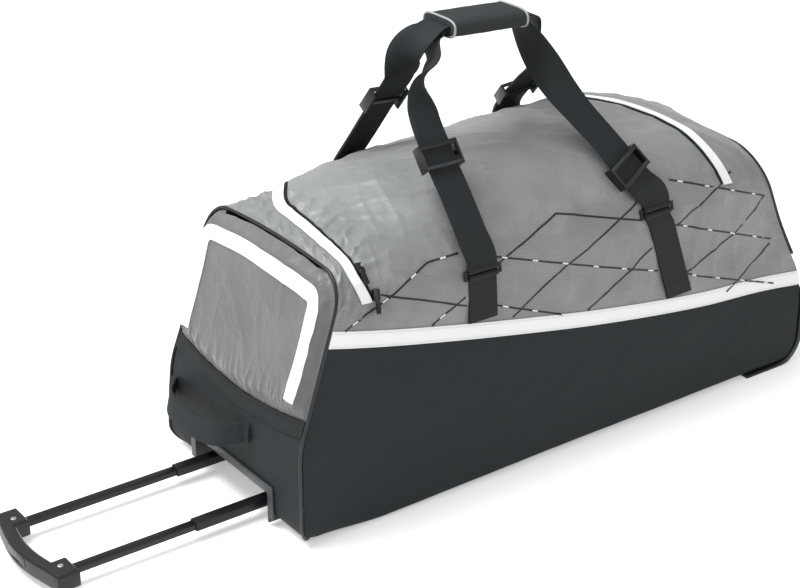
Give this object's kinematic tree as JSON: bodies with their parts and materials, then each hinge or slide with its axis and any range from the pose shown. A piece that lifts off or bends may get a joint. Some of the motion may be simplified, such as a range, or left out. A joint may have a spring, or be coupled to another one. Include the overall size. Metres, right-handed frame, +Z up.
{
  "type": "wheeled ski and sports travel bag",
  "caption": "Long wheeled cloth travel bag for ski kit, with an arched zip lid, a carry handle of joined straps and a pull-out trolley handle.",
  "frame": {"origin": "middle of the footprint on the floor, with the trolley handle drawn out", "axes": "+X from the trolley handle to the wheels, +Y from the near side to the far side, +Z up"},
  "size_m": [1.201, 0.3448, 0.5935],
  "materials": {
    "charcoal_cloth": "matt woven polyester",
    "grey_cloth": "satin ripstop polyester",
    "white_trim": "matt coated tape",
    "piping": "matt",
    "webbing": "matt woven webbing",
    "dark_plastic": "fine grain",
    "grey_plastic": "fine grain",
    "black_plastic": "satin",
    "black_tube": "gloss black anodised",
    "bare_metal": "satin",
    "tyre_rubber": "matt"
  },
  "bodies": {
    "bag": {"near_side_panel": "charcoal_cloth", "near_upper_panel": "grey_cloth", "near_side_stripe": "white_trim", "far_side_panel": "charcoal_cloth", "far_upper_panel": "grey_cloth", "far_side_stripe": "white_trim", "lid_panel": "grey_cloth", "front_yoke": "grey_cloth", "rear_yoke": "grey_cloth", "front_zip_flap": "white_trim", "rear_zip_flap": "white_trim", "far_zip_flap": "white_trim", "front_lower_panel": "charcoal_cloth", "front_hem_band": "charcoal_cloth", "front_pocket": "grey_cloth", "pocket_trim": "white_trim", "base_panel": "charcoal_cloth", "rear_end_panel": "charcoal_cloth", "near_wheel_housing": "dark_plastic", "near_axle": "bare_metal", "far_wheel_housing": "dark_plastic", "far_axle": "bare_metal", "front_piping": "piping", "rear_piping": "piping", "front_grab_handle": "charcoal_cloth", "trolley_housing": "grey_plastic", "near_guide_sleeve": "bare_metal", "far_guide_sleeve": "bare_metal", "near_left_ring": "black_plastic", "near_left_anchor": "webbing", "near_right_ring": "black_plastic", "near_right_anchor": "webbing", "far_left_ring": "black_plastic", "far_left_anchor": "webbing", "far_right_ring": "black_plastic", "far_right_anchor": "webbing", "near_carry_strap": "webbing", "far_carry_strap": "webbing", "near_left_glider": "black_plastic", "near_right_glider": "black_plastic", "far_left_glider": "black_plastic", "far_right_glider": "black_plastic", "handle_wrap": "charcoal_cloth", "main_zip_slider_1": "black_plastic", "main_zip_slider_2": "black_plastic"},
    "handle_frame": {"near_inner_tube": "black_tube", "far_inner_tube": "black_tube", "trolley_grip": "dark_plastic", "near_grip_screw": "bare_metal", "far_grip_screw": "bare_metal"},
    "grip_button": {"release_button": "black_plastic"},
    "near_outer_stage": {"near_outer_tube": "black_tube"},
    "far_outer_stage": {"far_outer_tube": "black_tube"},
    "near_wheel_body": {"near_wheel": "tyre_rubber"},
    "far_wheel_body": {"far_wheel": "tyre_rubber"}
  },
  "joints": [
    {"name": "handle_slide", "type": "slide", "parent": "bag", "child": "handle_frame", "axis": [1, 0, 0], "range_m": [0, 0.306]},
    {"name": "near_stage_slide", "type": "slide", "parent": "bag", "child": "near_outer_stage", "axis": [1, 0, 0], "range_m": [0, 0.139]},
    {"name": "far_stage_slide", "type": "slide", "parent": "bag", "child": "far_outer_stage", "axis": [1, 0, 0], "range_m": [0, 0.092]},
    {"name": "button_press", "type": "slide", "parent": "handle_frame", "child": "grip_button", "axis": [1, 0, 0], "range_m": [0, 0.003], "stiffness_N_per_m": 400},
    {"name": "near_wheel_spin", "type": "hinge", "parent": "bag", "child": "near_wheel_body", "pos_m": [0.5635, -0.126, 0.036], "axis": [0, 1, 0], "continuous": true},
    {"name": "far_wheel_spin", "type": "hinge", "parent": "bag", "child": "far_wheel_body", "pos_m": [0.5635, 0.126, 0.036], "axis": [0, 1, 0], "continuous": true}
  ],
  "couplings": [
    {"joint": "near_stage_slide", "follows": "handle_slide", "ratio": 0.45425},
    {"joint": "far_stage_slide", "follows": "handle_slide", "ratio": 0.30065}
  ]
}
